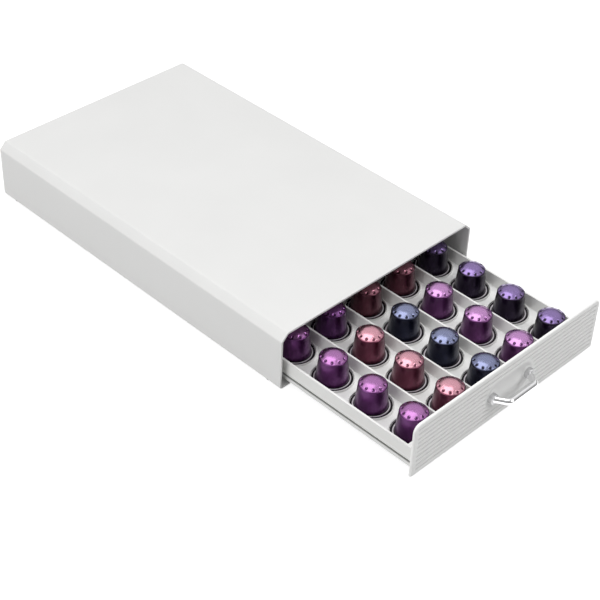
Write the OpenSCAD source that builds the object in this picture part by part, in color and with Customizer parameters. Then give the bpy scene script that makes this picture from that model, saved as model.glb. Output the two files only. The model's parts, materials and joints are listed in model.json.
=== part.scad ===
// Coffee pod drawer: a bent steel sleeve that stands on four rubber feet, and a moulded tray
// with lanes of round seats that slides out of its open front on two steel guide rails.
// X runs across the drawer, Y from front to back and Z up. The origin is in the middle of
// the whole footprint, with the drawer as far open as open_by says, on the surface that the
// feet stand on. Sizes are in millimetres.

/* [Pod grid] */
// Lanes side by side
lanes = 5; // [2:1:7]
// Seats in each lane, front to back
rows = 8; // [5:1:10]
// Distance from lane to lane
lane_pitch = 46.3; // [45:0.1:60]
// Distance from seat to seat in a lane
row_pitch = 46.8; // [44:0.1:60]
// Rows of seats that hold a pod, counted from the front
filled_rows = 4; // [1:1:5]

/* [Pod] */
// Diameter over the rim
pod_rim_d = 37; // [34:0.1:38]
// Diameter of the body just above the rim
pod_base_d = 30; // [28:0.1:32]
// Diameter of the body at its shoulder
pod_shoulder_d = 25.4; // [22:0.1:27]
// Height from the seat to the crown
pod_h = 28.5; // [24:0.1:32]
// Diameter of the flat disc on the crown
pod_disc_d = 14; // [10:0.5:17]
// Thickness of the curled rim
pod_rim_t = 1.3; // [1:0.1:2]
// Thickness of the body's wall
pod_wall = 0.5; // [0.4:0.05:0.8]
// Diameter of a dimple
pod_dimple_d = 2.2; // [1.6:0.1:2.6]
// Depth of a dimple
pod_dimple_depth = 0.45; // [0.2:0.05:0.5]
// Dimples round the crown
pod_dimples = 10; // [6:1:14]

/* [Tray] */
// Thickness of the side and end walls at their top
tray_wall = 2; // [1.6:0.1:3]
// Thickness of the dividers at their top
divider_t = 1.8; // [1.2:0.1:3]
// How much each moulded wall thickens on a side, down to the floor
wall_draft = 1.75; // [0.4:0.05:2]
// Height of the tray's walls
tray_h = 20.7; // [19:0.1:30]
// Depth of the lanes below the top of the walls
lane_depth = 12; // [6:0.1:12.5]
// Thickness of the tray's floor
floor_t = 2; // [1.4:0.1:2.4]
// Length of the raised ledge behind the last seats
ledge_d = 11.6; // [8:0.1:30]
// Length of the scalloped sill in front of the first seats, with the front wall
sill_d = 10.8; // [8:0.1:14]
// Radius of the tray's rear inner corners
tray_corner_r = 8; // [4:0.5:12]
// Air around a pod's rim in its seat
seat_gap = 0.6; // [0.2:0.05:0.7]
// Width of the raised ring round a seat
seat_ring_w = 1.15; // [0.8:0.05:1.3]
// Height of the raised ring
seat_ring_h = 2; // [0.6:0.1:2.5]
// Thickness of the tray's side skirts, which hold the grooves
skirt_t = 4; // [4:0.1:6]
// Thickness of the ribs under the floor
rib_t = 1.6; // [1:0.1:3]

/* [Sleeve] */
// Height of the sleeve without its feet
sleeve_h = 61; // [56:0.5:90]
// Thickness of the steel sheet
sheet = 1.8; // [1:0.1:2.5]
// Size of the bent 45 degree corners
corner_cut = 7.4; // [5:0.1:15]
// Outer radius of the bends
bend_r = 2.6; // [2.4:0.1:4]
// Width of the flanges along the bottom
flange_w = 12.5; // [10:0.5:20]
// Air between the tray and the inside of the sleeve, on each side
side_gap = 6.35; // [5:0.05:12]
// Height of the tray's underside above the sleeve's underside
tray_z = 6.3; // [4.5:0.1:12]
// Air between the closed tray and the rear flanges
rear_air = 14.4; // [4:0.1:40]

/* [Front panel] */
// Thickness of the panel
panel_t = 2.4; // [2.2:0.1:4]
// How far the panel's edge lies inside the sleeve's outline, at each side
panel_side_in = 1.2; // [0:0.1:3]
// The same at the top
panel_top_in = 1.5; // [0:0.1:3]
// Height of the panel's bottom edge above the sleeve's underside
panel_bottom_in = 3; // [0:0.1:6]
// Radius of the panel's top corners
panel_top_r = 7; // [3:0.5:10]
// Radius of the panel's bottom corners
panel_bottom_r = 1.6; // [1.4:0.1:4]
// Bevel along the panel's front edges
panel_edge = 0.8; // [0.3:0.1:1.2]
// Distance from groove to groove
groove_pitch = 4.97; // [4.6:0.01:8]
// Width of a groove
groove_w = 4.4; // [1.5:0.1:4.5]
// Depth of a groove
groove_depth = 0.8; // [0.3:0.05:0.8]
// Plain border above the top groove
groove_border = 4.2; // [3:0.1:12]
// Plain border at the grooves' ends
groove_end = 4.9; // [3:0.1:12]
// Length of the dished finger field behind the handle
dish_l = 64; // [50:1:100]
// Height of the finger field
dish_h = 29; // [20:0.5:34]
// Depth of the finger field
dish_depth = 1.2; // [0.6:0.1:1.4]

/* [Handle] */
// Distance between the handle's feet
foot_span = 49; // [40:0.5:52]
// Length of the bar, from bend to bend
bar_l = 34; // [24:0.5:38]
// How far the handle stands out from the panel
handle_out = 17.6; // [14:0.1:30]
// Diameter of the round bar and legs
bar_d = 6.4; // [4:0.1:7]
// Diameter of the round feet
handle_foot_d = 9.4; // [8:0.1:12]
// Length of the round feet
handle_foot_l = 5; // [4:0.5:8]

/* [Guide rails] */
// Thickness of the rails' steel strip
rail_t = 2; // [1:0.1:2.2]
// Height of the rails' upright web
rail_h = 12; // [8:0.5:20]
// Height of the tray's side grooves above its underside
side_groove_z = 3.8; // [2.4:0.1:4]
// Depth of the tray's side grooves
side_groove_depth = 2.5; // [1.5:0.1:2.6]
// Air above and below a rail's tongue in its groove
tongue_air = 0.2; // [0.1:0.05:0.4]
// Air between the tongue's edge and the bottom of the groove
tongue_tip_air = 0.3; // [0.2:0.05:0.6]
// Distance from the rear of the tray to its stop lugs
lug_from_rear = 30; // [20:1:200]

/* [Hardware] */
// Thread diameter of the handle's screws
handle_screw_d = 4; // [3:0.5:5]
// Thread diameter of the screws of the front and rear panels
panel_screw_d = 2.9; // [2.5:0.1:3.5]
// Radial air round a screw in a clearance hole
hole_air = 0.15; // [0.1:0.05:0.4]
// Diameter of the rubber feet
pad_d = 9; // [7:0.5:12]
// Height of the rubber feet under the sleeve
pad_h = 1.5; // [1:0.1:6]
// Distance of the feet from the ends of the sleeve
pad_inset = 18; // [12:1:60]

/* [Position] */
// How far the drawer stands open
open_by = 150.3; // [0.3:0.1:250]

/* [Hidden] */
pod_tones = [ // body colour of each lane's pods, front to back
    ["#5b2d78", "#5b2d78", "#5b2d78", "#4a2462"],
    ["#7a3350", "#7a3350", "#7a3350", "#55246e"],
    ["#262a4a", "#262a4a", "#262a4a", "#7a3340"],
    ["#6b2f6e", "#6b2f6e", "#6b2f6e", "#7a3340"],
    ["#33204a", "#33204a", "#33204a", "#33204a"],
];
pod_list = [for (lane = [1:lanes]) for (row = [1:filled_rows]) [lane, row]];

// Screw heads: width beyond the thread, and height as a share of the thread's diameter
head_over = 2;
head_share = 0.6;
handle_head_air = 0.2; // round a handle screw's head, where the tray reaches it

// Tray outline, from the pod grid
tray_in_x = (lanes * lane_pitch - divider_t) / 2;
tray_x = tray_in_x + tray_wall;
tray_d = tray_wall + rows * row_pitch + ledge_d;
floor_z = tray_h - lane_depth;
groove_air_t = rail_t + 2 * tongue_air;
rib_x = tray_x - skirt_t + 0.4; // cross ribs end in the skirts, short of the grooves
ring_r = pod_rim_d / 2 + seat_gap;
scallop_r = ring_r + seat_ring_w + 0.65;

// Sleeve outline, round the tray, and where its front edge lies
sleeve_x = tray_x + side_gap + sheet;
sleeve_in_x = sleeve_x - sheet;
rear_flange_w = 12;
rear_flange_z = tray_z + tray_h + 2; // the tray goes in from the rear, under the flanges
rear_flange_h = sleeve_h - corner_cut - rear_flange_z;
sleeve_d = tray_d + rear_air + 2 * sheet;
front_y = (open_by + panel_t + handle_out - sleeve_d - panel_screw_d * head_share) / 2;
bend_flat = sheet * (sqrt(2) - 1); // where a 45 degree bend's inner corner shifts to
bend_in_r = bend_r - sheet;

// Front panel
panel_x = sleeve_x - panel_side_in;
panel_top = sleeve_h - panel_top_in;
panel_mid_z = (panel_top + panel_bottom_in) / 2;
groove_r = (groove_w * groove_w / 4 + groove_depth * groove_depth) / (2 * groove_depth);
groove_count = floor((panel_top - panel_bottom_in - 2 * groove_border) / groove_pitch);
groove_top_z = panel_top - groove_border - groove_w / 2;
dish_r = (dish_h * dish_h / 4 + dish_depth * dish_depth) / (2 * dish_depth);
dish_flat = dish_l - dish_h;
handle_pad_d = handle_foot_d + 1.6;

// Guide rails: the tongue lies in the middle of the groove
rail_z = tray_z + side_groove_z + tongue_air;
rail_end = 4;
tongue_x = tray_x - side_groove_depth + tongue_tip_air;
stop_y = 6;
stop_l = 8;
stop_h = 6.6;
stop_x = tray_x + 1.2;
lug_y = tray_d - lug_from_rear - stop_l;
lug_air = 0.9;
panel_screw_z = tray_z + (tray_h + floor_z) / 2 - 0.2;
panel_screw_bite = 1.3;

echo(tray_mm = [2 * tray_x, tray_d, tray_h], sleeve_mm = [2 * sleeve_x, sleeve_d, sleeve_h]);
echo(travel_mm = [-open_by, lug_travel()]);

function pod_node(p) = str("pod_lane", p[0], "_row", p[1]);
function lane_x(lane) = (lane - (lanes + 1) / 2) * lane_pitch;
function row_y(row) = tray_wall + (row - 0.5) * row_pitch;

// How much further the drawer opens before its lugs meet the stops
function lug_travel() = lug_y - open_by - stop_y - stop_l;

// A point where a rounded corner of an outline meets one of its straights
function toward(from, to, dist) = from + (to - from) * dist / norm(to - from);

// Arc of radius r in the corner b between the straights to a and to c
function corner_arc(a, b, c, r, steps = 6) =
    let (u = (a - b) / norm(a - b), v = (c - b) / norm(c - b),
         half = acos(u * v) / 2,
         centre = b + (u + v) / norm(u + v) * r / sin(half),
         first = toward(b, a, r / tan(half)) - centre,
         last = toward(b, c, r / tan(half)) - centre,
         start = atan2(first[1], first[0]),
         turn = atan2(last[1], last[0]) - start,
         swing = turn > 180 ? turn - 360 : turn < -180 ? turn + 360 : turn)
    [for (i = [0:steps]) centre + r * [cos(start + swing * i / steps), sin(start + swing * i / steps)]];

// Closed outline through corners given as [x, y, radius], radius 0 for a sharp one
function rounded(corners) =
    let (n = len(corners), p = [for (q = corners) [q[0], q[1]]])
    [for (i = [0:n - 1]) each corners[i][2] > 0
        ? corner_arc(p[(i + n - 1) % n], p[i], p[(i + 1) % n], corners[i][2])
        : [p[i]]];

// Same outline on the other side of the middle, in reverse order
function mirrored(points) = [for (i = [len(points) - 1:-1:0]) [-points[i][0], points[i][1], points[i][2]]];

// An outline in X and Z, drawn out along Y
module along_y(length) {
    translate([0, length, 0]) rotate([90, 0, 0]) linear_extrude(length) children();
}

// An outline in Y and Z, drawn out along X
module along_x(length) {
    rotate([90, 0, 90]) linear_extrude(length, center = true) children();
}

module both_sides() {
    children();
    mirror([1, 0, 0]) children();
}

module in_sleeve() {
    translate([0, front_y, pad_h]) children();
}

module in_drawer() {
    in_sleeve() translate([0, -open_by, 0]) children();
}

// Screw along +Y with its bearing face at y = 0: the head is in front, the shank goes back
module screw(d, length) {
    head_r = d / 2 + head_over;
    head_h = d * head_share;
    rotate([-90, 0, 0]) {
        cylinder(d = d, h = length, $fn = 32);
        difference() {
            rotate_extrude($fn = 48)
                polygon([[0, -head_h], [head_r * 0.55, -head_h], [head_r * 0.85, -head_h * 0.75],
                         [head_r, -head_h * 0.35], [head_r, 0], [0, 0]]);
            for (turn = [0, 90])
                rotate(turn) translate([-head_r * 0.5, -d * 0.11, -head_h - 1])
                    cube([head_r, d * 0.22, 1 + head_h * 0.55]);
        }
    }
}

// ---- Sleeve ----

// Right half of the sleeve's section, from the flange's inner edge up to the top
function sleeve_half(x, z0, z1, cut, r) = [
    [sleeve_x - flange_w, z0, 0], [x, z0, r], [x, z1 - cut, r], [x - cut, z1, r]
];

module sleeve_outline() {
    outer = sleeve_half(sleeve_x, 0, sleeve_h, corner_cut, bend_r);
    inner = sleeve_half(sleeve_in_x, sheet, sleeve_h - sheet, corner_cut + bend_flat - sheet, bend_in_r);
    side = concat(outer, mirrored(outer));
    hollow = concat(inner, mirrored(inner));
    polygon(concat(rounded(side), rounded([for (i = [len(hollow) - 1:-1:0]) hollow[i]])));
}

module at_pads() {
    for (side = [-1, 1], y = [pad_inset, sleeve_d - pad_inset])
        translate([side * (sleeve_x - flange_w / 2), y, 0]) children();
}

module at_rear_screws() {
    for (side = [-1, 1], part = [0.2, 0.8])
        translate([side * (sleeve_in_x - rear_flange_w / 2), sleeve_d, rear_flange_z + rear_flange_h * part])
            rotate([0, 0, 180]) children();
}

module sleeve() {
    shell_d = sleeve_d - sheet;
    color("#ececea") in_sleeve() difference() {
        union() {
            along_y(shell_d) sleeve_outline();
            both_sides() translate([sleeve_in_x - rear_flange_w, shell_d - sheet, rear_flange_z])
                cube([rear_flange_w + sheet / 2, sheet, rear_flange_h]);
        }
        at_pads() translate([0, 0, -1]) cylinder(d = pad_d * 0.45, h = sheet + 2, $fn = 32);
        at_rear_screws() rotate([-90, 0, 0]) cylinder(r = panel_screw_d / 2 + hole_air, h = 9, $fn = 32);
    }
}

module rear_panel() {
    edge = 0.6;
    half = [[sleeve_x - edge, edge, bend_r], [sleeve_x - edge, sleeve_h - corner_cut - edge / 2, bend_r],
            [sleeve_x - corner_cut - edge / 2, sleeve_h - edge, bend_r]];
    color("#e2e2e0") in_sleeve() difference() {
        translate([0, sleeve_d - sheet, 0]) along_y(sheet) polygon(rounded(concat(half, mirrored(half))));
        at_rear_screws() rotate([-90, 0, 0]) cylinder(r = panel_screw_d / 2 + hole_air, h = 9, $fn = 32);
    }
}

module rear_panel_screws() {
    color("#9a9c9e") in_sleeve() at_rear_screws() screw(panel_screw_d, 6);
}

// Push-in rubber foot: pad under the flange, neck through it and a bead above it
module rubber_foot(side, end) {
    neck_r = pad_d * 0.225 - hole_air;
    color("#3a3a3c") in_sleeve()
        translate([side * (sleeve_x - flange_w / 2), end > 0 ? sleeve_d - pad_inset : pad_inset, -pad_h])
            rotate_extrude($fn = 48)
                polygon([[0, 0], [pad_d / 2 - 0.6, 0], [pad_d / 2, 0.5], [pad_d / 2, pad_h], [neck_r, pad_h],
                         [neck_r, pad_h + sheet], [neck_r + 0.8, pad_h + sheet],
                         [neck_r - 0.4, pad_h + sheet + 1.6], [0, pad_h + sheet + 1.6]]);
}

// ---- Guide rails, along the inside of the sleeve ----

module guide_rail() {
    length = sleeve_d - 2 * sheet - 2 * rail_end;
    web_x = sleeve_in_x - rail_t;
    color("#a9abad") in_sleeve() translate([0, rail_end, rail_z]) difference() {
        along_y(length) polygon([[tongue_x, 0], [sleeve_in_x, 0], [sleeve_in_x, rail_h],
                                 [web_x, rail_h], [web_x, rail_t], [tongue_x, rail_t]]);
        translate([web_x - 1, stop_y - rail_end + stop_l / 2, rail_t + stop_h / 2])
            rotate([0, 90, 0]) cylinder(d = 3.2, h = rail_t + 2, $fn = 32);
    }
}

// Nylon block on the rail's web, held by its peg, that catches the tray's lug
module rail_stop() {
    web_x = sleeve_in_x - rail_t;
    color("#e8e6dc") in_sleeve() translate([0, stop_y, rail_z + rail_t]) {
        translate([stop_x, 0, 0]) cube([web_x - stop_x, stop_l, stop_h]);
        translate([web_x - 1, stop_l / 2, stop_h / 2])
            rotate([0, 90, 0]) cylinder(d = 3, h = rail_t + 0.9, $fn = 32);
    }
}

// ---- Tray ----

// Section across the lanes: side walls and dividers with their draft, skirts and ribs below
module tray_section() {
    under = floor_z - floor_t;
    left = [[-tray_x, 0], [-tray_x, tray_h], [-tray_in_x, tray_h], [-tray_in_x + wall_draft, floor_z]];
    dividers = [for (i = [1:lanes - 1]) let (x = (lane_x(i) + lane_x(i + 1)) / 2, t = divider_t / 2)
        each [[x - t - wall_draft, floor_z], [x - t, tray_h], [x + t, tray_h],
              [x + t + wall_draft, floor_z]]];
    ribs = [for (i = [lanes - 1:-1:1]) let (x = (lane_x(i) + lane_x(i + 1)) / 2, t = rib_t / 2)
        each [[x + t, under], [x + t, 1.5], [x - t, 1.5], [x - t, under]]];
    polygon(concat(left, dividers, [for (i = [len(left) - 1:-1:0]) [-left[i][0], left[i][1]]],
                   [[tray_x - skirt_t, 0], [tray_x - skirt_t, under]], ribs,
                   [[-tray_x + skirt_t, under], [-tray_x + skirt_t, 0]]));
}

// Groove in the side towards +X, the whole length of the tray
module side_groove() {
    translate([tray_x - side_groove_depth, -1, side_groove_z])
        cube([side_groove_depth + 1, tray_d + 2, groove_air_t]);
}

// Hollow ledge behind the last row, open underneath
module tray_ledge() {
    y0 = tray_d - ledge_d;
    translate([0, y0, 0]) along_x(2 * tray_in_x)
        polygon([[-wall_draft, floor_z - floor_t], [-wall_draft, floor_z], [0, tray_h],
                 [ledge_d, tray_h], [ledge_d, 0], [ledge_d - tray_wall, 0],
                 [ledge_d - tray_wall, tray_h - tray_wall], [tray_wall, tray_h - tray_wall],
                 [tray_wall - wall_draft, floor_z - floor_t]]);
}

module tray_front_wall() {
    along_x(2 * tray_in_x)
        polygon([[0, 0], [0, tray_h], [tray_wall, tray_h], [tray_wall + wall_draft, floor_z],
                 [tray_wall + wall_draft, floor_z - floor_t], [tray_wall, 0]]);
}

// Sill in plan, cut back round the first seats by circles of radius r
module sill_plan(y0, y1, x, r) {
    difference() {
        translate([-x, y0]) square([2 * x, y1 - y0]);
        for (lane = [1:lanes]) translate([lane_x(lane), row_y(1)]) circle(r = r, $fn = 96);
    }
}

// Scalloped sill along the front wall, cored out from below
module tray_front_sill() {
    x = tray_in_x + tray_wall / 2;
    translate([0, 0, floor_z - floor_t])
        linear_extrude(lane_depth + floor_t) sill_plan(tray_wall / 2, sill_d, x, scallop_r);
}

module tray_sill_core() {
    translate([0, 0, -1]) linear_extrude(tray_h - tray_wall + 1)
        sill_plan(tray_wall + wall_draft, sill_d - tray_wall, tray_in_x - wall_draft, scallop_r + tray_wall);
}

// Fillet that fills a rear inner corner of the tray, in the quadrant towards +X and +Y
module corner_fill() {
    sink = 0.6;
    difference() {
        translate([-sink, -sink, floor_z - 0.5])
            cube([tray_corner_r * 0.9 + sink, tray_corner_r * 0.9 + sink, lane_depth + 0.5]);
        translate([tray_corner_r, tray_corner_r, 0]) cylinder(r = tray_corner_r, h = tray_h + 1, $fn = 64);
    }
}

// Raised ring that centres a pod's rim
module seat_ring() {
    lean = seat_ring_w * 0.2;
    rotate_extrude($fn = 96)
        polygon([[ring_r, -0.5], [ring_r, seat_ring_h - lean], [ring_r + lean, seat_ring_h],
                 [ring_r + seat_ring_w - lean, seat_ring_h], [ring_r + seat_ring_w, -0.5]]);
}

module tray() {
    color("#d4d4d2") in_drawer() translate([0, 0, tray_z]) difference() {
        union() {
            along_y(tray_d) tray_section();
            tray_front_wall();
            tray_front_sill();
            tray_ledge();
            for (row = [1:rows - 1])
                translate([-rib_x, tray_wall + row * row_pitch - rib_t / 2, 1.5])
                    cube([2 * rib_x, rib_t, floor_z - floor_t]);
            both_sides() {
                translate([-tray_in_x, tray_d - ledge_d, 0]) mirror([0, 1, 0]) corner_fill();
                translate([tray_x - 0.5, lug_y, side_groove_z + groove_air_t + lug_air])
                    cube([side_gap - rail_t - lug_air + 0.5, stop_l, stop_h - lug_air]);
            }
            for (lane = [1:lanes], row = [1:rows])
                translate([lane_x(lane), row_y(row), floor_z]) seat_ring();
        }
        both_sides() side_groove();
        tray_sill_core();
        at_panel_screws(-1) rotate([-90, 0, 0])
            cylinder(r = panel_screw_d / 2 + hole_air, h = tray_wall + wall_draft + 2, $fn = 32);
        at_panel_screws(tray_wall) screw_seat();
        translate([0, 0, -tray_z]) at_handle_feet(0) handle_screw_notch();
    }
}

// Room for a handle screw's head, open at the top, in a tray tall enough to reach it
module handle_screw_notch() {
    r = handle_screw_d / 2 + head_over + handle_head_air;
    depth = handle_screw_d * head_share + handle_head_air;
    translate([0, -1, 0]) rotate([-90, 0, 0]) cylinder(r = r, h = depth + 1, $fn = 48);
    translate([-r, -1, 0]) cube([2 * r, depth + 1, panel_top]);
}

// ---- Front panel ----

// Screws lie behind the front pods, two at each side of the middle
module at_panel_screws(y) {
    for (lane = [1:lanes]) if (abs(lane_x(lane)) > lane_pitch / 3)
        translate([lane_x(lane), y, panel_screw_z - tray_z]) children();
}

// Counterbore for a screw's head, through the sill's thin middle
module screw_seat() {
    rotate([-90, 0, 0]) cylinder(r = panel_screw_d / 2 + head_over + 0.4, h = wall_draft + 1.2, $fn = 48);
}

// Flat panel with bevelled front edges, and its own corner radius at the top and at the bottom
module panel_slab() {
    flat_t = panel_t - panel_edge;
    low_z = panel_bottom_in + panel_bottom_r;
    high_z = panel_top - panel_top_r;
    half = [[panel_x, 0], [panel_x, -flat_t], [panel_x - panel_edge, -panel_t]];
    translate([0, 0, low_z]) linear_extrude(high_z - low_z)
        polygon(concat(half, [for (i = [2:-1:0]) [-half[i][0], half[i][1]]]));
    along_x(2 * (panel_x - panel_bottom_r))
        polygon([[0, panel_mid_z], [0, panel_bottom_in], [-flat_t, panel_bottom_in],
                 [-panel_t, panel_bottom_in + panel_edge], [-panel_t, panel_mid_z]]);
    along_x(2 * (panel_x - panel_top_r))
        polygon([[0, panel_mid_z], [0, panel_top], [-flat_t, panel_top],
                 [-panel_t, panel_top - panel_edge], [-panel_t, panel_mid_z]]);
    for (side = [-1, 1], corner = [[low_z, panel_bottom_r], [high_z, panel_top_r]])
        translate([side * (panel_x - corner[1]), 0, corner[0]]) rotate([90, 0, 0]) {
            cylinder(r = corner[1], h = flat_t, $fn = 64);
            translate([0, 0, flat_t])
                cylinder(r1 = corner[1], r2 = corner[1] - panel_edge, h = panel_edge, $fn = 64);
        }
}

// Half the length of the finger field at height z, 0 above and below it
function dish_half(z) = let (dz = abs(z - panel_mid_z))
    dz < dish_h / 2 ? dish_flat / 2 + sqrt(dish_h * dish_h / 4 - dz * dz) : 0;

// One groove, from its outer end to the finger field or to the middle
module panel_groove(z) {
    inner = dish_half(z) > 0 ? dish_half(z) + 2 : -1;
    outer = panel_x - groove_end;
    both_sides() translate([inner, -panel_t - groove_r + groove_depth, z])
        rotate([0, 90, 0]) cylinder(r = groove_r, h = outer - inner, $fn = 64);
}

module at_handle_feet(y) {
    for (side = [-1, 1]) translate([side * foot_span / 2, y, panel_mid_z]) children();
}

module front_panel() {
    dish_y = -panel_t - dish_r + dish_depth;
    color("#cfcfcd") in_drawer() difference() {
        union() {
            difference() {
                panel_slab();
                for (i = [0:groove_count]) panel_groove(groove_top_z - i * groove_pitch);
                translate([0, dish_y, panel_mid_z]) {
                    rotate([0, 90, 0]) cylinder(r = dish_r, h = dish_flat, center = true, $fn = 128);
                    for (side = [-1, 1])
                        translate([side * dish_flat / 2, 0, 0]) sphere(r = dish_r, $fn = 128);
                }
            }
            at_handle_feet(-panel_t) rotate([-90, 0, 0])
                cylinder(d = handle_pad_d, h = panel_t - 0.4, $fn = 48);
        }
        at_handle_feet(-panel_t - 1) rotate([-90, 0, 0])
            cylinder(r = handle_screw_d / 2 + hole_air, h = panel_t + 2, $fn = 32);
        translate([0, 0, tray_z]) at_panel_screws(-panel_screw_bite - 0.1) rotate([-90, 0, 0])
            cylinder(r = panel_screw_d / 2 + 0.05, h = panel_screw_bite + 1, $fn = 32);
    }
}

module front_panel_screws() {
    color("#9a9c9e") in_drawer() translate([0, 0, tray_z]) at_panel_screws(tray_wall)
        rotate([0, 0, 180]) screw(panel_screw_d, tray_wall + panel_screw_bite);
}

// ---- Handle: a bow of round bar with slanted legs on two round feet ----

// Bow with its middle line in the plane z = 0: bar, legs and a slightly larger ball in each bend
module bow() {
    root = [foot_span / 2, -handle_foot_l * 0.52];
    corner = [bar_l / 2, bar_d / 2 - handle_out];
    leg = root - corner;
    translate([0, corner[1], 0]) rotate([0, 90, 0]) cylinder(d = bar_d, h = bar_l, center = true, $fn = 48);
    for (side = [0, 180]) rotate([0, side, 0]) translate(corner) {
        sphere(d = bar_d + 0.1, $fn = 48);
        rotate(atan2(leg[1], leg[0])) rotate([0, 90, 0]) cylinder(d = bar_d, h = norm(leg), $fn = 48);
    }
}

module handle() {
    foot_r = handle_foot_d / 2;
    color("#b9bbbd") in_drawer() translate([0, -panel_t, 0]) difference() {
        union() {
            translate([0, 0, panel_mid_z]) bow();
            at_handle_feet(0) rotate([90, 0, 0]) rotate_extrude($fn = 48)
                polygon([[0, 0], [foot_r + 0.6, 0], [foot_r + 0.6, 0.8], [foot_r, 1.6],
                         [foot_r, handle_foot_l - 0.9], [foot_r - 0.9, handle_foot_l], [0, handle_foot_l]]);
        }
        at_handle_feet(1) rotate([90, 0, 0])
            cylinder(d = handle_screw_d + 0.1, h = handle_foot_l - 0.2, $fn = 32);
    }
}

module handle_screws() {
    color("#9a9c9e") in_drawer() at_handle_feet(0)
        rotate([0, 0, 180]) screw(handle_screw_d, panel_t + handle_foot_l - 1.5);
}

// ---- Pods, rim down in their seats ----

module pod(tone) {
    rim_r = pod_rim_t / 2;
    flange = [0.3, 0.85]; // bottom of the lid and top of the rim's flat part
    base = pod_base_d / 2;
    shoulder = pod_shoulder_d / 2;
    disc = pod_disc_d / 2;
    crown_z = pod_h - 0.5;
    shoulder_z = crown_z - 3.4;
    slope = atan2(crown_z - shoulder_z, shoulder - disc);
    crown_wall = pod_wall + pod_dimple_depth;
    dimple_at = (shoulder + disc) / 2 + 0.3;
    outside = rounded([[0, flange[0], 0], [pod_rim_d / 2 - rim_r, flange[0], 0],
                       [pod_rim_d / 2 - rim_r, flange[1], 0], [base, flange[1], 0],
                       [shoulder, shoulder_z, 1], [disc, crown_z, 0],
                       [disc - 0.6, pod_h, 0], [0, pod_h, 0]]);
    inside = [[0, flange[0] + 0.4], [base - pod_wall, flange[0] + 0.4],
              [shoulder - pod_wall, shoulder_z - crown_wall / 2], [disc - 1, crown_z - crown_wall * 1.2],
              [0, crown_z - crown_wall * 1.2]];
    color(tone) difference() {
        union() {
            rotate_extrude($fn = 96) polygon(outside);
            rotate_extrude($fn = 96) translate([pod_rim_d / 2 - rim_r, rim_r]) circle(r = rim_r, $fn = 24);
        }
        rotate_extrude($fn = 96) polygon(inside);
        for (i = [0:pod_dimples - 1])
            rotate(i * 360 / pod_dimples)
                translate([dimple_at, 0, crown_z - (dimple_at - disc) * tan(slope)]) rotate([0, slope, 0])
                    translate([0, 0, -pod_dimple_depth])
                        cylinder(d1 = pod_dimple_d * 0.7, d2 = pod_dimple_d * 1.1,
                                 h = pod_dimple_depth + 0.15, $fn = 24);
    }
}

module pod_at(lane, row) {
    tone = pod_tones[(lane - 1) % len(pod_tones)][min(row, 4) - 1];
    in_drawer() translate([lane_x(lane), row_y(row), tray_z + floor_z]) pod(tone);
}

sleeve();
rear_panel();
rear_panel_screws();
mirror([1, 0, 0]) guide_rail();  // guide_rail_left
guide_rail();  // guide_rail_right
mirror([1, 0, 0]) rail_stop();  // rail_stop_left
rail_stop();  // rail_stop_right
rubber_foot(-1, -1);  // foot_front_left
rubber_foot(1, -1);  // foot_front_right
rubber_foot(-1, 1);  // foot_rear_left
rubber_foot(1, 1);  // foot_rear_right
tray();
front_panel();
front_panel_screws();
handle();
handle_screws();
for (p = pod_list) pod_at(p[0], p[1]);
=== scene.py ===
# Coffee pod drawer: powder coated steel sleeve, moulded tray on guide rails, ribbed front
# panel with a plated bow handle, and lacquered aluminium pods in the first four rows.
import bpy
import bmesh
import json
import math
from mathutils import Matrix, Vector


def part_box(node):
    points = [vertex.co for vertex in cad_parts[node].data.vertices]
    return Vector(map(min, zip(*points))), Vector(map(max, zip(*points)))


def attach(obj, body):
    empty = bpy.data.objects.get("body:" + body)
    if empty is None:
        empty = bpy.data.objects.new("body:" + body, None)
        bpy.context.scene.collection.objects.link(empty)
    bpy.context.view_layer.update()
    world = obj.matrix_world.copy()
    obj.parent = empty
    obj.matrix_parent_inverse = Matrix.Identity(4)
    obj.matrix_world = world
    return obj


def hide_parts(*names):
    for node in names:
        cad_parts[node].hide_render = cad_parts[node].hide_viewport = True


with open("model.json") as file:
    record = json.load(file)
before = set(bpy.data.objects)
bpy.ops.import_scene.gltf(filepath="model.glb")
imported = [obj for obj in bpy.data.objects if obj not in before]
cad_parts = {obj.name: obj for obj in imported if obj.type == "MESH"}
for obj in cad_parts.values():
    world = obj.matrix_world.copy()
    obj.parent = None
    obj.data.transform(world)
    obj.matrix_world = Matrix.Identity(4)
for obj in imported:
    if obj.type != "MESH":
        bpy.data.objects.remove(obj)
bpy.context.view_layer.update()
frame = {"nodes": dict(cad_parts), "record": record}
nodes = frame["nodes"]
subparts = frame["record"]["subparts"]
mm = 0.001


def linear(hexCode):
    # sRGB hex to the linear colour that the sockets want
    values = [int(hexCode[i:i + 2], 16) / 255 for i in (0, 2, 4)]
    return [v / 12.92 if v <= 0.04045 else ((v + 0.055) / 1.055) ** 2.4 for v in values] + [1.0]


def addNode(tree, kind, settings=None, inputs=None, links=None):
    # one node with its settings, its plain inputs and what feeds it
    node = tree.nodes.new(kind)
    for name, value in (settings or {}).items():
        setattr(node, name, value)
    for name, value in (inputs or {}).items():
        node.inputs[name].default_value = value
    for name, source in (links or {}).items():
        tree.links.new(source, node.inputs[name])
    return node


def startMaterial(name):
    mat = bpy.data.materials.new(name)
    mat.use_nodes = True
    mat.node_tree.nodes.clear()
    return mat, mat.node_tree


def finishMaterial(mat, shader, output="BSDF"):
    out = addNode(mat.node_tree, "ShaderNodeOutputMaterial")
    mat.node_tree.links.new(shader.outputs[output], out.inputs["Surface"])
    return mat


def fillRamp(ramp, steps):
    # colour stops as (place, hex) pairs
    while len(ramp.color_ramp.elements) < len(steps):
        ramp.color_ramp.elements.new(0.5)
    for element, (place, tone) in zip(ramp.color_ramp.elements, steps):
        element.position = place
        element.color = linear(tone)


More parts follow.
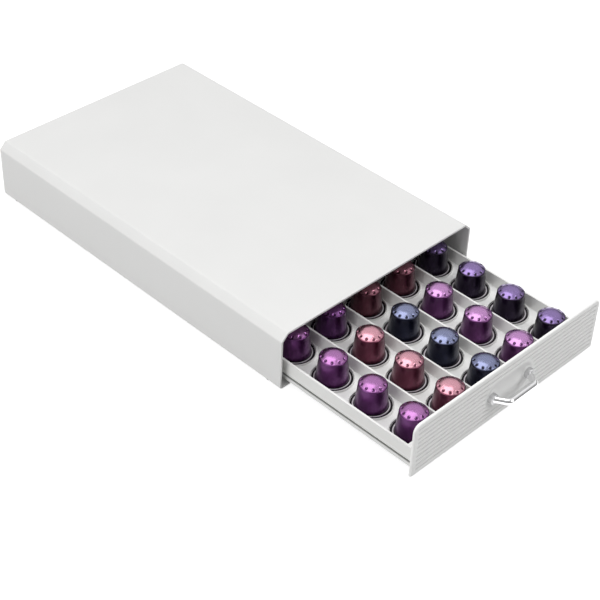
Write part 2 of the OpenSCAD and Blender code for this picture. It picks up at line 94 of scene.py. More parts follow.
def addPiece(name, mesh, mat, body, replaced):
    # a finished mesh that stands for a node of the frame
    mesh.materials.append(mat)
    obj = bpy.data.objects.new(name, mesh)
    bpy.context.scene.collection.objects.link(obj)
    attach(obj, body)
    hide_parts(replaced)
    return obj


camera = {
    "place": (-0.82209, -0.80529, 0.88656),   # metres, in the part's frame
    "azimuth": -46.26,                        # degrees, 0 looks along +Y
    "elevation": 38.68,
    "roll": 2.5,
    "focal": 1499.17,                         # pixels, in a picture 600 pixels wide
    "pictureWidth": 600,
    "sensor": 36.0,
}

az, el, roll = (math.radians(camera[key]) for key in ("azimuth", "elevation", "roll"))
back = Vector((math.sin(az) * math.cos(el), -math.cos(az) * math.cos(el), math.sin(el)))
side = Vector((math.cos(az), math.sin(az), 0))
rise = back.cross(side)
right = side * math.cos(roll) + rise * math.sin(roll)
up = rise * math.cos(roll) - side * math.sin(roll)
camData = bpy.data.cameras.new("photoCamera")
camData.sensor_width = camera["sensor"]
camData.lens = camera["focal"] * camera["sensor"] / camera["pictureWidth"]
camData.clip_start = 0.05
camObj = bpy.data.objects.new("photoCamera", camData)
turned = Matrix((right, up, back)).transposed().to_4x4()
camObj.matrix_world = Matrix.Translation(camera["place"]) @ turned
bpy.context.scene.collection.objects.link(camObj)
bpy.context.scene.camera = camObj
print("camera placed")


coat = {
    "pale": "e3e3e2",
    "dark": "dddddc",
    "peelMm": 1.6,      # width of one orange peel dimple
    "cloudMm": 70,      # slow drift of the film's thickness
    "peelDeepMm": 0.05,
    "peelShows": 0.12,
    "roughness": (0.40, 0.50),
}


def powderCoat():
    # polyester powder baked on steel: a satin skin with a fine orange peel, so highlights
    # are wide and a little broken
    mat, tree = startMaterial("polyesterPowderCoat")
    place = addNode(tree, "ShaderNodeNewGeometry")
    peel = addNode(tree, "ShaderNodeTexNoise",
                   inputs={"Scale": 1 / (coat["peelMm"] * mm), "Detail": 2.0},
                   links={"Vector": place.outputs["Position"]})
    cloud = addNode(tree, "ShaderNodeTexNoise",
                    inputs={"Scale": 1 / (coat["cloudMm"] * mm), "Detail": 3.0},
                    links={"Vector": place.outputs["Position"]})
    tone = addNode(tree, "ShaderNodeMix", {"data_type": "RGBA"},
                   {"A": linear(coat["dark"]), "B": linear(coat["pale"])},
                   {"Factor": cloud.outputs["Fac"]})
    bump = addNode(tree, "ShaderNodeBump",
                   inputs={"Strength": coat["peelShows"], "Distance": coat["peelDeepMm"] * mm},
                   links={"Height": peel.outputs["Fac"]})
    low, high = coat["roughness"]
    rough = addNode(tree, "ShaderNodeMapRange", inputs={"To Min": low, "To Max": high},
                    links={"Value": cloud.outputs["Fac"]})
    shader = addNode(tree, "ShaderNodeBsdfPrincipled", inputs={"IOR": 1.5},
                     links={"Base Color": tone.outputs["Result"], "Normal": bump.outputs["Normal"],
                            "Roughness": rough.outputs["Result"]})
    return finishMaterial(mat, shader)


moulding = {
    "grainMm": 0.5, "grainDeepMm": 0.03, "grainShows": 0.2,
    "flowMm": 45,
    "roughnessSpread": 0.05,
}

# places on the tray with a tone of their own, in millimetres above the floor and out from the
# drawer's middle: painted shade darkens the guide grooves, and painted light brightens the
# floor and the tops of the walls
grooveShade = {"height": (11.6, 14.0), "out": (113.9, 116.8), "tone": "adadac"}
wallTopLight = {"height": (28.35, 28.65), "out": (0, 117.5), "tone": "f0f0ef"}
floorLight = {"height": (16.3, 16.9), "out": (0, 117.5), "tone": "f3f3f2"}


def mouldedPlastic(name, dark, pale, roughness, paintedBands=(), valleyShadeTone=None):
    # injection moulded: a fine spark-eroded grain from the mould, which scatters the highlight,
    # and a slow drift of tone where the melt flowed
    mat, tree = startMaterial(name)
    place = addNode(tree, "ShaderNodeTexCoord")
    grain = addNode(tree, "ShaderNodeTexNoise",
                    inputs={"Scale": 1 / (moulding["grainMm"] * mm), "Detail": 3.0},
                    links={"Vector": place.outputs["Object"]})
    flow = addNode(tree, "ShaderNodeTexNoise",
                   inputs={"Scale": 1 / (moulding["flowMm"] * mm), "Detail": 2.0},
                   links={"Vector": place.outputs["Object"]})
    tone = addNode(tree, "ShaderNodeMix", {"data_type": "RGBA"},
                   {"A": linear(dark), "B": linear(pale)}, {"Factor": flow.outputs["Fac"]})
    split = addNode(tree, "ShaderNodeSeparateXYZ", links={"Vector": place.outputs["Object"]})
    across = addNode(tree, "ShaderNodeMath", {"operation": "ABSOLUTE"}, links={0: split.outputs["X"]})
    # painted shade and painted light in bands of the tray
    for band in paintedBands:
        masks = []
        limits = ((across.outputs[0], band["out"]), (split.outputs["Z"], band["height"]))
        for source, (start, end) in limits:
            middle, reach = (start + end) / 2 * mm, (end - start) / 2 * mm
            masks.append(addNode(tree, "ShaderNodeMath", {"operation": "COMPARE"},
                                 {1: middle, 2: reach}, {0: source}))
        inside = addNode(tree, "ShaderNodeMath", {"operation": "MULTIPLY"},
                         links={0: masks[0].outputs[0], 1: masks[1].outputs[0]})
        tone = addNode(tree, "ShaderNodeMix", {"data_type": "RGBA"}, {"B": linear(band["tone"])},
                       {"A": tone.outputs["Result"], "Factor": inside.outputs[0]})
    if valleyShadeTone:
        # painted shade in the valleys between the ribs and in the finger dish
        valleyShade = addNode(tree, "ShaderNodeAttribute", {"attribute_name": "valleyShade"})
        tone = addNode(tree, "ShaderNodeMix", {"data_type": "RGBA"}, {"B": linear(valleyShadeTone)},
                       {"A": tone.outputs["Result"], "Factor": valleyShade.outputs["Fac"]})
    bump = addNode(tree, "ShaderNodeBump",
                   inputs={"Strength": moulding["grainShows"],
                           "Distance": moulding["grainDeepMm"] * mm},
                   links={"Height": grain.outputs["Fac"]})
    spread = moulding["roughnessSpread"]
    rough = addNode(tree, "ShaderNodeMapRange",
                    inputs={"To Min": roughness - spread, "To Max": roughness + spread},
                    links={"Value": grain.outputs["Fac"]})
    shader = addNode(tree, "ShaderNodeBsdfPrincipled", inputs={"IOR": 1.53},
                     links={"Base Color": tone.outputs["Result"], "Normal": bump.outputs["Normal"],
                            "Roughness": rough.outputs["Result"]})
    return finishMaterial(mat, shader)


def metal(name, pale, dark, roughness, streakMm, satinTone=None):
    # bare or plated metal: faint streaks along the drawer from polishing or rolling stretch
    # its reflections, and a satin skin where the polishing wheel doesn't reach
    mat, tree = startMaterial(name)
    place = addNode(tree, "ShaderNodeNewGeometry")
    stretch = addNode(tree, "ShaderNodeMapping", inputs={"Scale": (1.0, 0.06, 1.0)},
                      links={"Vector": place.outputs["Position"]})
    streak = addNode(tree, "ShaderNodeTexNoise", inputs={"Scale": 1 / (streakMm * mm), "Detail": 4.0},
                     links={"Vector": stretch.outputs["Vector"]})
    tone = addNode(tree, "ShaderNodeMix", {"data_type": "RGBA"},
                   {"A": linear(dark), "B": linear(pale)}, {"Factor": streak.outputs["Fac"]})
    rough = addNode(tree, "ShaderNodeMapRange",
                    inputs={"To Min": roughness * 0.8, "To Max": roughness * 1.2},
                    links={"Value": streak.outputs["Fac"]})
    if satinTone:
        satin = addNode(tree, "ShaderNodeAttribute", {"attribute_name": "satin"})
        tone = addNode(tree, "ShaderNodeMix", {"data_type": "RGBA"}, {"B": linear(satinTone)},
                       {"A": tone.outputs["Result"], "Factor": satin.outputs["Fac"]})
        rough = addNode(tree, "ShaderNodeMix", inputs={"B": 0.5},
                        links={"A": rough.outputs["Result"], "Factor": satin.outputs["Fac"]})
    shader = addNode(tree, "ShaderNodeBsdfPrincipled", inputs={"Metallic": 1.0},
                     links={"Base Color": tone.outputs["Result"], "Roughness": rough.outputs["Result"]})
    return finishMaterial(mat, shader)


def rubber():
    # moulded nitrile rubber: dull black with a slight dusty bloom
    mat, tree = startMaterial("mouldedNitrileRubber")
    place = addNode(tree, "ShaderNodeNewGeometry")
    bloom = addNode(tree, "ShaderNodeTexNoise", inputs={"Scale": 1 / (3 * mm), "Detail": 4.0},
                    links={"Vector": place.outputs["Position"]})
    tone = addNode(tree, "ShaderNodeMix", {"data_type": "RGBA"},
                   {"A": linear("1f1f20"), "B": linear("343436")}, {"Factor": bloom.outputs["Fac"]})
    shader = addNode(tree, "ShaderNodeBsdfPrincipled", inputs={"IOR": 1.52, "Roughness": 0.8},
                     links={"Base Color": tone.outputs["Result"]})
    return finishMaterial(mat, shader)


podTones = {
    # lacquer on the drawn body, and a lighter crown tone that is painted sheen of the light from above
    "pod_violet": ("5c2a62", "b076b2"),
    "pod_burgundy": ("6a3046", "db9fae"),
    "pod_purple": ("52265c", "a168ae"),
    "pod_navy": ("171930", "868cae"),
    "pod_red_brown": ("60303f", "bb8090"),
    "pod_plum": ("5e2e62", "c48fc8"),
    "pod_ink": ("21132d", "8f78b0"),
}

pod = {
    "rimRadius": 18.5, "rimThick": 1.3, "flangeTop": 0.85,
    "bodyRadius": 15.0, "shoulderRadius": 12.7, "shoulderHeight": 24.4,
    "height": 28.5, "discRadius": 6.9, "discRise": 0.55, "discBlend": 0.5,
    "dimples": 10, "dimpleAt": 10.4, "dimpleRadius": 1.5, "dimpleDeep": 0.75,
    "turns": 160, "crownRings": 36,
    "laneTurn": 23, "rowTurn": 101,     # degrees: the pods are put in at any turn
}

# painted shade at the foot and on the bead, a painted reflection on the flat of the rim, and where the
# painted sheen of the crown starts
lacquer = {
    "footShadeTone": "140b15", "beadShadeTone": "1a0f1c", "rimSheenTone": "efe9ef",
    "crownSheenFrom": 0.012, "crownSheenFull": 0.032,     # above the shoulder, in shares of the height
    "drawMarks": 26.0,
    "waveMm": 4.5, "waveDeepMm": 0.5, "waveShows": 0.6,
    "bodyRoughness": (0.32, 0.42), "crownSmoother": 0.11,
}


def podLacquer(slot):
    # deep drawn aluminium under clear coloured lacquer: the colour comes from the lacquer, the
    # soft stretched highlights from the metal below; the crown's lighter tone is painted sheen, the
    # flat of the rim is painted pale as a painted reflection, the curled bead outside it is darkened
    # to near black as painted shade, and so are the corner at the foot and the dimples
    body, crownSheen = podTones[slot]
    mat, tree = startMaterial("lacqueredDrawnAluminium_" + slot)
    place = addNode(tree, "ShaderNodeTexCoord")
    split = addNode(tree, "ShaderNodeSeparateXYZ", links={"Vector": place.outputs["Object"]})
    height = addNode(tree, "ShaderNodeMapRange",
                     inputs={"From Min": 0.0, "From Max": pod["height"] * mm},
                     links={"Value": split.outputs["Z"]})
    ramp = addNode(tree, "ShaderNodeValToRGB", links={"Fac": height.outputs["Result"]})
    shoulder = pod["shoulderHeight"] / pod["height"]
    # painted shade: the lacquer is darkened to nearly black in the corner at the foot
    foot = lacquer["footShadeTone"]
    # painted sheen: above the shoulder the ramp turns to the lighter crown tone
    fillRamp(ramp, [(0.0, foot), (0.055, foot), (0.09, body),
                    (shoulder + lacquer["crownSheenFrom"], body),
                    (shoulder + lacquer["crownSheenFull"], crownSheen), (1.0, crownSheen)])
    mask = addNode(tree, "ShaderNodeAttribute", {"attribute_name": "rimSheen"})
    beadShade = addNode(tree, "ShaderNodeAttribute", {"attribute_name": "bead"})
    dentShade = addNode(tree, "ShaderNodeAttribute", {"attribute_name": "dentShade"})
    # fine marks of the drawing punch, up and down the body
    turned = addNode(tree, "ShaderNodeMath", {"operation": "ARCTAN2"},
                     links={0: split.outputs["Y"], 1: split.outputs["X"]})
    marks = addNode(tree, "ShaderNodeCombineXYZ",
                    links={"X": turned.outputs[0], "Z": height.outputs["Result"]})
    drawn = addNode(tree, "ShaderNodeTexNoise", inputs={"Scale": lacquer["drawMarks"], "Detail": 2.0},
                    links={"Vector": marks.outputs["Vector"]})
    # painted shade in the pressed dimples, which take the darker body tone
    shade = addNode(tree, "ShaderNodeMix", {"data_type": "RGBA"}, {"B": linear(body)},
                    {"A": ramp.outputs["Color"], "Factor": dentShade.outputs["Fac"]})
    # painted shade of the gap at the seat ring: the bead is darkened to near black
    edge = addNode(tree, "ShaderNodeMix", {"data_type": "RGBA"}, {"B": linear(lacquer["beadShadeTone"])},
                   {"A": shade.outputs["Result"], "Factor": beadShade.outputs["Fac"]})
    # painted reflection: the flat of the rim is painted pale for the bright ceiling it mirrors
    tone = addNode(tree, "ShaderNodeMix", {"data_type": "RGBA"}, {"B": linear(lacquer["rimSheenTone"])},
                   {"A": edge.outputs["Result"], "Factor": mask.outputs["Fac"]})
    # a slight waviness left by the press breaks up what the lacquer mirrors
    wave = addNode(tree, "ShaderNodeTexNoise",
                   inputs={"Scale": 1 / (lacquer["waveMm"] * mm), "Detail": 1.0},
                   links={"Vector": place.outputs["Object"]})
    bump = addNode(tree, "ShaderNodeBump",
                   inputs={"Strength": lacquer["waveShows"], "Distance": lacquer["waveDeepMm"] * mm},
                   links={"Height": wave.outputs["Fac"]})
    low, high = lacquer["bodyRoughness"]
    drawnRough = addNode(tree, "ShaderNodeMapRange", inputs={"To Min": low, "To Max": high},
                         links={"Value": drawn.outputs["Fac"]})
    # the pressed crown is glossier than the drawn body
    upper = addNode(tree, "ShaderNodeMapRange",
                    inputs={"From Min": shoulder, "From Max": shoulder + 0.02},
                    links={"Value": height.outputs["Result"]})
    rough = addNode(tree, "ShaderNodeMath", {"operation": "MULTIPLY_ADD"},
                    {1: -lacquer["crownSmoother"]},
                    {0: upper.outputs["Result"], 2: drawnRough.outputs["Result"]})
    # the rim's painted pale tone is mostly not metallic
    rimMetallic = addNode(tree, "ShaderNodeMapRange", inputs={"To Min": 1.0, "To Max": 0.2},
                   links={"Value": mask.outputs["Fac"]})
    shader = addNode(tree, "ShaderNodeBsdfPrincipled",
                     inputs={"Coat Weight": 0.4, "Coat Roughness": 0.2, "Coat IOR": 1.5},
                     links={"Base Color": tone.outputs["Result"], "Roughness": rough.outputs[0],
                            "Metallic": rimMetallic.outputs["Result"], "Normal": bump.outputs["Normal"]})
    return finishMaterial(mat, shader)


finishes = {
    "white_powder_coat": powderCoat(),
    # the tray takes painted shade in its guide grooves and painted light on its floor and wall tops
    "grey_moulded_plastic": mouldedPlastic("mouldedAbsTray", "e2e2e0", "e9e9e7", 0.45,
                                           paintedBands=(grooveShade, wallTopLight, floorLight)),
    # painted shade in the valleys between the ribs and in the finger dish
    "grey_panel_plastic": mouldedPlastic("mouldedAbsPanel", "f3f3f2", "f8f8f7", 0.42,
                                         valleyShadeTone="d9d9d8"),
    # painted sheen: the bow's chrome is set lighter than plated chrome reflects, so the bar renders
    # white; its satin feet keep a darker tone
    "bright_chrome": metal("polishedChromePlate", "fcfcfd", "f4f4f5", 0.1, 6, "c9c9ca"),
    "rail_steel": metal("rolledGalvanisedSteel", "b9babc", "9fa1a3", 0.35, 1.5),
    "screw_steel": metal("zincPlatedSteel", "b4b5b7", "98999b", 0.3, 1.0),
    "natural_nylon": mouldedPlastic("mouldedNylon", "dedbcf", "e6e3d8", 0.45),
    "foot_rubber": rubber(),
}
for slot in podTones:
    finishes[slot] = podLacquer(slot)
for part in subparts:
    node = nodes[part["node"]]
    node.data.materials.clear()
    node.data.materials.append(finishes[part["material_slot"]])
print("materials made:", len(finishes))


def podProfile():
    # radius and height in millimetres, from the rim's underside up to the crown
    bead = pod["rimThick"] / 2
    beadAt = pod["rimRadius"] - bead
    flat = pod["flangeTop"]
    body = pod["bodyRadius"]
    points = [(beadAt - 1.2, 0.3)]
    for i in range(13):
        turn = math.radians(-100 + i * 20)
        points.append((beadAt + bead * math.cos(turn), bead + bead * math.sin(turn)))
    points += [(beadAt - bead - 0.1, flat + 0.05), (beadAt - bead - 0.3, flat), (body + 0.9, flat),
               (body + 0.35, flat + 0.07), (body + 0.06, flat + 0.35), (body - 0.03, flat + 0.85)]
    foot = flat + 0.85
    lean = (body - pod["shoulderRadius"]) / (pod["shoulderHeight"] - foot)
    steps = 11
    for i in range(1, steps + 1):
        h = foot + (pod["shoulderHeight"] - 1.2 - foot) * i / steps
        points.append((body - 0.03 - lean * (h - foot), h))
    # shoulder arc, as steep at its end as the cone that follows
    disc, discRise, blend = pod["discRadius"], pod["discRise"], pod["discBlend"]
    coneRise = pod["height"] - discRise - pod["shoulderHeight"]
    slope = math.atan(coneRise / (pod["shoulderRadius"] - disc))
    centre = (pod["shoulderRadius"] - 0.85, pod["shoulderHeight"] - 0.55)
    start, end = math.atan(lean), math.pi / 2 - slope
    for i in range(7):
        turn = start + (end - start) * i / 6
        points.append((centre[0] + math.cos(turn), centre[1] + math.sin(turn)))
    # a cone up to a nearly flat disc in the middle of the crown, with a soft edge between them
    first = points[-1]
    for i in range(1, pod["crownRings"]):
        r = first[0] * (1 - i / pod["crownRings"])
        cone = first[1] + (first[0] - r) * math.tan(slope)
        flatTop = pod["height"] - discRise * (r / disc) ** 2
        points.append((r, flatTop - blend * math.log(1 + math.exp((flatTop - cone) / blend))))
    return points


def podMesh():
    # the shell turned from its profile, with round dimples pressed into the crown
    shell = bmesh.new()
    rimSheen = shell.verts.layers.float.new("rimSheen")
    dentShade = shell.verts.layers.float.new("dentShade")
    bead = shell.verts.layers.float.new("bead")
    count = pod["turns"]
    step = 2 * math.pi / pod["dimples"]
    inner, outer = pod["bodyRadius"] + 0.5, pod["rimRadius"] - pod["rimThick"] - 0.4
    rings = []
    for r, z in podProfile():
        ring = []
        for i in range(count):
            turn = 2 * math.pi * i / count
            x, y = r * math.cos(turn), r * math.sin(turn)
            near = round(turn / step) * step
            away = math.hypot(x - pod["dimpleAt"] * math.cos(near),
                              y - pod["dimpleAt"] * math.sin(near))
            share = min(away / pod["dimpleRadius"], 1) if z > pod["shoulderHeight"] else 1
            drop = pod["dimpleDeep"] * (0.5 + 0.5 * math.cos(math.pi * share ** 2))
            vert = shell.verts.new((x * mm, y * mm, (z - drop) * mm))
            # masks for the painted reflection on the flat of the rim, the painted shade on the bead and
            # the painted shade in the dimples
            vert[rimSheen] = 1.0 if z < 1 and inner < r < outer and z > 0.5 else 0.0
            vert[bead] = 1.0 if z < 1.4 and r >= outer else 0.0
            vert[dentShade] = max(0.0, min(1.0, (1 - share) * 3))
            ring.append(vert)
        rings.append(ring)
    for low, high in zip(rings, rings[1:]):
        for i in range(count):
            j = (i + 1) % count
            shell.faces.new((low[i], low[j], high[j], high[i]))
    shell.faces.new(rings[-1])
    shell.faces.new(list(reversed(rings[0])))
    bmesh.ops.recalc_face_normals(shell, faces=shell.faces)
    mesh = bpy.data.meshes.new("podShell")
    shell.to_mesh(mesh)
    shell.free()
    mesh.shade_smooth()
    return mesh


onePod = podMesh()
podParts = [part for part in subparts if part["node"].startswith("pod_")]
for part in podParts:
    low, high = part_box(part["node"])
    shell = addPiece("shell_" + part["node"], onePod.copy(), finishes[part["material_slot"]],
                     "drawer", part["node"])
    shell.location = ((low.x + high.x) / 2, (low.y + high.y) / 2, low.z)
    lane, row = (int(word[-1]) for word in part["node"].split("_")[1:])
    shell.rotation_euler.z = math.radians(lane * pod["laneTurn"] + row * pod["rowTurn"])
print("pods made:", len(podParts))


handle = {
    "barDiameter": 6.4, "bendRadius": 4.6, "barLength": 34, "footSpan": 49,
    "footRadius": 5.1, "footLength": 4.2, "footEdge": 0.6,
    "sides": 40, "bendSteps": 12,
}


def bowPath(standOut):
    # middle line of the bow in plan, from the left foot to the right, panel face at y = 0
    root = Vector((handle["footSpan"] / 2, -handle["footLength"] * 0.52))
    corner = Vector((handle["barLength"] / 2, handle["barDiameter"] / 2 - standOut))
    leg = root - corner
    turn = math.atan2(leg.y, leg.x)
    cut = handle["bendRadius"] * math.tan(turn / 2)
    centre = Vector((corner.x - cut, corner.y + handle["bendRadius"]))
    half = []
    for i in range(handle["bendSteps"] + 1):
        at = turn * i / handle["bendSteps"]
        half.append(centre + handle["bendRadius"] * Vector((math.sin(at), -math.cos(at))))
    half.append(root)
    return [Vector((-p.x, p.y)) for p in reversed(half)] + half


def sweepRound(shell, path, radius, count):
    # round bar along a path in the plane z = 0, closed at its ends
    rings = []
    for i, point in enumerate(path):
        before, after = path[max(i - 1, 0)], path[min(i + 1, len(path) - 1)]
        along = (after - before).normalized()
        across = Vector((-along.y, along.x))
        ring = []
        for k in range(count):
            turn = 2 * math.pi * k / count
            flat = point + across * radius * math.cos(turn)
            ring.append(shell.verts.new((flat.x * mm, flat.y * mm, radius * math.sin(turn) * mm)))
        rings.append(ring)
    for low, high in zip(rings, rings[1:]):
        for k in range(count):
            shell.faces.new((low[k], low[(k + 1) % count], high[(k + 1) % count], high[k]))
    shell.faces.new(rings[0])
    shell.faces.new(rings[-1])


def turnRound(shell, profile, centre, count, skin):
    # a profile of radius and distance from the panel, turned about a line along y
    rings = []
    for r, out in profile:
        ring = []
        for k in range(count):
            turn = 2 * math.pi * k / count
            x, z = centre + r * math.cos(turn), r * math.sin(turn)
            vert = shell.verts.new((x * mm, -out * mm, z * mm))
            vert[skin] = 1.0
            ring.append(vert)
        rings.append(ring)
    for low, high in zip(rings, rings[1:]):
        for k in range(count):
            shell.faces.new((low[k], low[(k + 1) % count], high[(k + 1) % count], high[k]))
    shell.faces.new(rings[0])
    shell.faces.new(rings[-1])


def handleMesh(standOut):
    shell = bmesh.new()
    satin = shell.verts.layers.float.new("satin")
    sweepRound(shell, bowPath(standOut), handle["barDiameter"] / 2, handle["sides"])
    r, length, ease = handle["footRadius"], handle["footLength"], handle["footEdge"]
    profile = [(r, 0)]
    for i in range(7):
        turn = math.pi / 2 * i / 6
        profile.append((r - ease + ease * math.cos(turn), length - ease + ease * math.sin(turn)))
    for sign in (-1, 1):
        turnRound(shell, profile, sign * handle["footSpan"] / 2, handle["sides"], satin)
    bmesh.ops.recalc_face_normals(shell, faces=shell.faces)
    mesh = bpy.data.meshes.new("bow")
    shell.to_mesh(mesh)
    shell.free()
    mesh.shade_smooth()
    mesh.set_sharp_from_angle(angle=math.radians(50))
    return mesh


panel = {
    "topRadius": 7.0, "bottomRadius": 1.6, "edge": 1.5,
    "pitch": 4.97, "firstWave": 6.4, "waves": 10, "waveDeep": 1.0,   # firstWave: below the top edge
    "plainEnd": 4.9, "fade": 2.5,
    "dishLength": 64, "dishHeight": 29, "dishDeep": 1.2, "dishShade": 0.5,
    "padRadius": 5.5, "padSpan": 49,
}


def softStep(value):
    # 0 to 1 with a soft start and end
    value = max(0.0, min(1.0, value))
    return value * value * (3 - 2 * value)


def edgeDistance(x, z, halfX, height):
    # millimetres from a point of the panel's face to its outline, z counted from the bottom
    top = z > height / 2
    r = panel["topRadius"] if top else panel["bottomRadius"]
    fromSide, fromEnd = halfX - abs(x), height - z if top else z
    if fromSide < r and fromEnd < r:
        return r - math.hypot(r - fromSide, r - fromEnd)
    return min(fromSide, fromEnd)


def panelDepth(x, z, halfX, height):
    # how far the moulded face lies behind its flat front (waves, finger field and rounded edge),
    # and how deep in a valley the point is, from 0 to 1, which is also its painted shade; the
    # finger dish gets half of that painted shade
    below = height - z
    wave = (below - panel["firstWave"]) / panel["pitch"]
    ribbed = -0.5 < wave < panel["waves"] - 0.5
    ripple = (0.5 + 0.5 * math.cos(2 * math.pi * wave)) ** 2 if ribbed else 0
    reach = panel["dishHeight"] / 2
    away = math.hypot(max(0, abs(x) - (panel["dishLength"] / 2 - reach)), z - height / 2)
    ends = softStep((halfX - panel["plainEnd"] - abs(x)) / panel["fade"] + 0.5)
    valleyShade = ripple * ends * softStep((away - reach) / panel["fade"])
    depth = panel["waveDeep"] * valleyShade
    # painted shade in the finger dish, half as dark as in the valleys
    valleyShade += panel["dishShade"] * softStep((reach - away) / panel["fade"])
    if away < reach:
        depth = panel["dishDeep"] * softStep(1.25 * (1 - (away / reach) ** 2))
        fromFoot = math.hypot(abs(x) - panel["padSpan"] / 2, z - height / 2)
        depth *= softStep((fromFoot - panel["padRadius"]) / 1.2)
    r = panel["edge"]
    inset = edgeDistance(x, z, halfX, height)
    if inset < r:
        depth += r - math.sqrt(max(0, r * r - (r - inset) ** 2))
    return depth, valleyShade


def spread(length, margins, count):
    # places from 0 to length: the given margins at both ends and even steps between them
    inner = length - 2 * margins[-1]
    middle = [margins[-1] + inner * i / count for i in range(1, count)]
    return margins + middle + [length - m for m in reversed(margins)]


def panelMesh(halfX, height, thick):
    # the face as a net of columns that follow the outline, with a flat back
    shell = bmesh.new()
    # a vertex layer carries the painted shade of the valleys and the dish
    shadeLayer = shell.verts.layers.float.new("valleyShade")
    close = [0, 0.02, 0.1, 0.25, 0.45, 0.7, 0.95, 1.2]
    places = spread(2 * halfX, close + [1.7, 2.3, 3.0, 3.8, 4.6, 5.4, 6.2, 7.0], 200)
    columns, rear = [], []
    for place in places:
        x = place - halfX
        fromSide = halfX - abs(x)
        drop = []
        for r in (panel["bottomRadius"], panel["topRadius"]):
            drop.append(r - math.sqrt(max(0, r * r - (r - fromSide) ** 2)) if fromSide < r else 0)
        start, end = drop[0], height - drop[1]
        column = []
        for z in spread(end - start, close, 150):
            z += start
            depth, valleyShade = panelDepth(x, z, halfX, height)
            vert = shell.verts.new((x * mm, (depth - thick) * mm, z * mm))
            vert[shadeLayer] = valleyShade
            column.append(vert)
        columns.append(column)
        rear.append([shell.verts.new((x * mm, 0, z * mm)) for z in (start, end)])
    for near, far, nearRear, farRear in zip(columns, columns[1:], rear, rear[1:]):
        for i in range(len(near) - 1):
            shell.faces.new((near[i], far[i], far[i + 1], near[i + 1]))
        shell.faces.new((near[0], nearRear[0], farRear[0], far[0]))
        shell.faces.new((near[-1], far[-1], farRear[1], nearRear[1]))
        shell.faces.new((nearRear[0], nearRear[1], farRear[1], farRear[0]))
    shell.faces.new(columns[0] + rear[0][::-1])
    shell.faces.new(columns[-1][::-1] + rear[-1])
    bmesh.ops.recalc_face_normals(shell, faces=shell.faces)
    mesh = bpy.data.meshes.new("panelFace")
    shell.to_mesh(mesh)
    shell.free()
    mesh.shade_smooth()
    mesh.set_sharp_from_angle(angle=math.radians(40))
    return mesh


low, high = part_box("front_panel")
panelFace = panelMesh((high.x - low.x) / 2 / mm, (high.z - low.z) / mm, (high.y - low.y) / mm)
face = addPiece("ribbedPanel", panelFace, finishes["grey_panel_plastic"],
                "drawer", "front_panel")
face.location = ((low.x + high.x) / 2, high.y, low.z)
print("panel made")

low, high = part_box("handle")
bow = addPiece("platedBow", handleMesh((high.y - low.y) / mm), finishes["bright_chrome"],
               "drawer", "handle")
bow.location = ((low.x + high.x) / 2, high.y, (low.z + high.z) / 2)
print("handle made")


ground = {
    "reach": 40.0,      # metres from the middle to the edge, far enough for low views
    "tone": "a6a6a6", "white": 0.86,
}


def paleFloor():
    # a plain white floor for the camera and for reflections, which still shows the shadow
    mat, tree = startMaterial("paleFloor")
    path = addNode(tree, "ShaderNodeLightPath")
    seen = addNode(tree, "ShaderNodeMath", {"operation": "MAXIMUM"},
                   links={0: path.outputs["Is Camera Ray"], 1: path.outputs["Is Glossy Ray"]})
    seen = addNode(tree, "ShaderNodeMath", {"operation": "MAXIMUM"},
                   links={0: seen.outputs[0], 1: path.outputs["Is Transmission Ray"]})
    lit = addNode(tree, "ShaderNodeBsdfDiffuse", inputs={"Color": linear(ground["tone"])})
    white = addNode(tree, "ShaderNodeEmission",
                    inputs={"Color": (1, 1, 1, 1), "Strength": ground["white"]})
    both = addNode(tree, "ShaderNodeAddShader",
                   links={0: lit.outputs["BSDF"], 1: white.outputs["Emission"]})
    mix = addNode(tree, "ShaderNodeMixShader",
                  links={"Fac": seen.outputs[0], 1: lit.outputs["BSDF"], 2: both.outputs["Shader"]})
    return finishMaterial(mat, mix, "Shader")


reach = ground["reach"]
corners = [(-reach, -reach, 0), (reach, -reach, 0), (reach, reach, 0), (-reach, reach, 0)]
floorMesh = bpy.data.meshes.new("floor")
floorMesh.from_pydata(corners, [], [(0, 1, 2, 3)])
floorMesh.materials.append(paleFloor())
floor = bpy.data.objects.new("floor", floorMesh)
bpy.context.scene.collection.objects.link(floor)

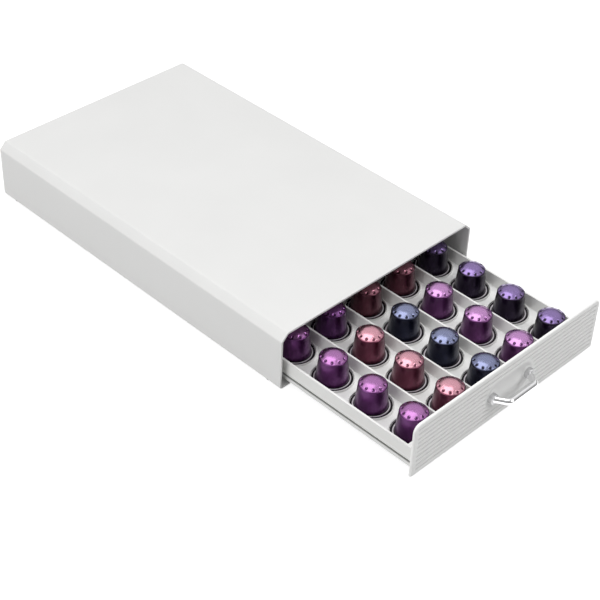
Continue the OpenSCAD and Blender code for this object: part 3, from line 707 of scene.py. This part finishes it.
lamps = {
    "overhead": {"place": (-0.35, 0.25, 2.2), "aim": (0, 0, 0), "size": 2.3, "watts": 18.8},
    "leftFill": {"place": (-2.3, 0.1, 0.6), "aim": (0, 0, 0), "size": 2.0, "watts": 28},
    "frontFill": {"place": (0.7, -1.9, 1.6), "aim": (0, -0.2, 0), "size": 1.2, "watts": 18},
}
for name, lamp in lamps.items():
    data = bpy.data.lights.new(name, "AREA")
    data.shape = "DISK"
    data.size = lamp["size"]
    data.energy = lamp["watts"]
    obj = bpy.data.objects.new(name, data)
    obj.location = lamp["place"]
    aim = Vector(lamp["aim"]) - Vector(lamp["place"])
    obj.rotation_euler = aim.to_track_quat("-Z", "Y").to_euler()
    bpy.context.scene.collection.objects.link(obj)

studio = {
    # a dark wall round the horizon under a pale ceiling, as shares of the way from straight down
    # to straight up
    "steps": [(0.0, "bcbcbc"), (0.49, "8a8a8a"), (0.5, "262626"), (0.54, "383838"),
              (0.6, "a0a0a0"), (0.78, "f6f6f6"), (1.0, "f2f2f2")],
    # one pale screen high up behind the drawer, which the crowns and the bow mirror
    "screenToward": (0.45, 0.43, 0.78), "screenEdge": (0.45, 0.9), "screenLight": (0.46, 0.97),
}

world = bpy.data.worlds.new("studio")
bpy.context.scene.world = world
world.use_nodes = True
sky = world.node_tree
sky.nodes.clear()
toward = addNode(sky, "ShaderNodeTexCoord")
split = addNode(sky, "ShaderNodeSeparateXYZ", links={"Vector": toward.outputs["Generated"]})
height = addNode(sky, "ShaderNodeMapRange", inputs={"From Min": -1.0, "From Max": 1.0},
                 links={"Value": split.outputs["Z"]})
ramp = addNode(sky, "ShaderNodeValToRGB", links={"Fac": height.outputs["Result"]})
fillRamp(ramp, studio["steps"])
lean = addNode(sky, "ShaderNodeVectorMath", {"operation": "DOT_PRODUCT"},
               {1: studio["screenToward"]}, {0: toward.outputs["Generated"]})
(farEdge, nearEdge), (dim, bright) = studio["screenEdge"], studio["screenLight"]
screen = addNode(sky, "ShaderNodeMapRange", {"interpolation_type": "SMOOTHSTEP"},
                 {"From Min": farEdge, "From Max": nearEdge, "To Min": dim, "To Max": bright},
                 {"Value": lean.outputs["Value"]})
glow = addNode(sky, "ShaderNodeBackground", links={"Color": ramp.outputs["Color"],
                                                   "Strength": screen.outputs["Result"]})
out = addNode(sky, "ShaderNodeOutputWorld", links={"Surface": glow.outputs["Background"]})
bpy.context.scene.view_settings.view_transform = "Standard"
print("lamps lit")
